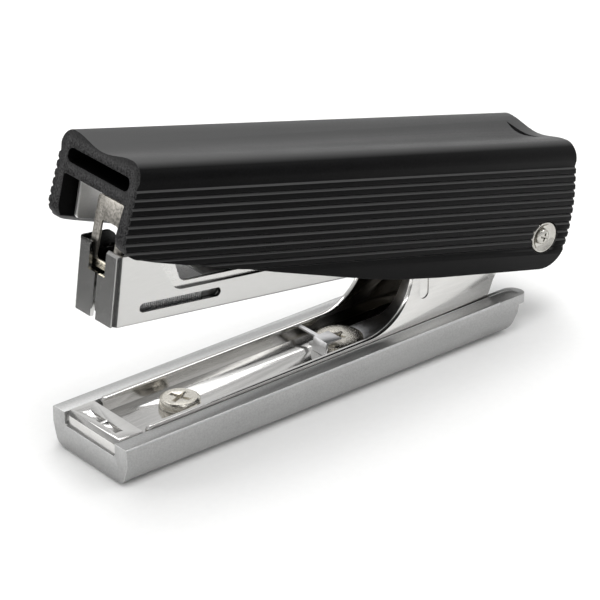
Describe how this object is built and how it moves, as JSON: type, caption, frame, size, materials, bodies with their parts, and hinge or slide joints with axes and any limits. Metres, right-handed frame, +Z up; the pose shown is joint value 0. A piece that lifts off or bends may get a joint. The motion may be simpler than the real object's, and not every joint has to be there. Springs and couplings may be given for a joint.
{
  "type": "stapler",
  "caption": "Desktop stapler: ribbed black lever cover with a hollow top wall, hinged sprung staple magazine with driver blade, steel frame and aluminium base with anvil",
  "frame": {"origin": "Centre of the bounding box in X and Y, on the plane that the foot pad stands on", "axes": "+X runs along the stapler from its mouth to its pivot, +Y across it, +Z up; Y = 0 is the middle plane"},
  "size_m": [0.1172, 0.0244, 0.0666],
  "materials": {
    "satin_aluminium": "fine-blasted, clear anodised",
    "black_anodised": "black anodised, satin",
    "nickel_sheet": "nickel plated, bright",
    "satin_nickel": "nickel plated, satin",
    "blade_steel": "hardened steel, matt",
    "spring_steel": "bright spring steel",
    "zinc_steel": "zinc plated",
    "nickel_screw": "nickel plated, polished",
    "staple_wire": "drawn galvanised wire",
    "rubber": "matt"
  },
  "bodies": {
    "base_assembly": {"base": "satin_aluminium", "foot_pad": "rubber", "frame": "nickel_sheet", "anvil": "nickel_sheet", "base_screws": "nickel_screw", "base_washers": "nickel_screw", "lift_spring": "spring_steel"},
    "magazine": {"magazine_shell": "satin_nickel", "staple_channel": "satin_nickel", "staple_rail": "zinc_steel", "rail_rivets": "zinc_steel", "staples": "staple_wire", "rail_stop": "zinc_steel", "guide_rod": "zinc_steel", "pusher_spring": "spring_steel", "pivot_spacer": "zinc_steel"},
    "pusher": {"pusher": "zinc_steel"},
    "handle": {"handle_cover": "black_anodised", "blade_bracket": "satin_nickel", "driver_blade": "blade_steel", "blade_spacer": "zinc_steel", "cover_rivets": "zinc_steel", "handle_spring": "spring_steel", "pivot_sleeve": "zinc_steel", "pivot_ferrules": "nickel_screw", "pivot_screws": "nickel_screw"}
  },
  "joints": [
    {"name": "magazine_hinge", "type": "hinge", "parent": "base_assembly", "child": "magazine", "pos_m": [0.04998, 0, 0.0199], "axis": [0, 1, 0], "range_deg": [-12.2, 0], "stiffness_Nm_per_rad": 1, "springref_deg": 8.59, "deforming": ["lift_spring"]},
    {"name": "handle_hinge", "type": "hinge", "parent": "magazine", "child": "handle", "pos_m": [0.04998, 0, 0.0199], "axis": [0, 1, 0], "range_deg": [-5, 60], "stiffness_Nm_per_rad": 0.6, "springref_deg": 4.3, "deforming": ["handle_spring"]},
    {"name": "pusher_slide", "type": "slide", "parent": "magazine", "child": "pusher", "axis": [0.9912, 0, -0.1323], "range_m": [0, 0.03], "stiffness_N_per_m": 60, "springref_m": -0.02, "deforming": ["pusher_spring"]}
  ]
}
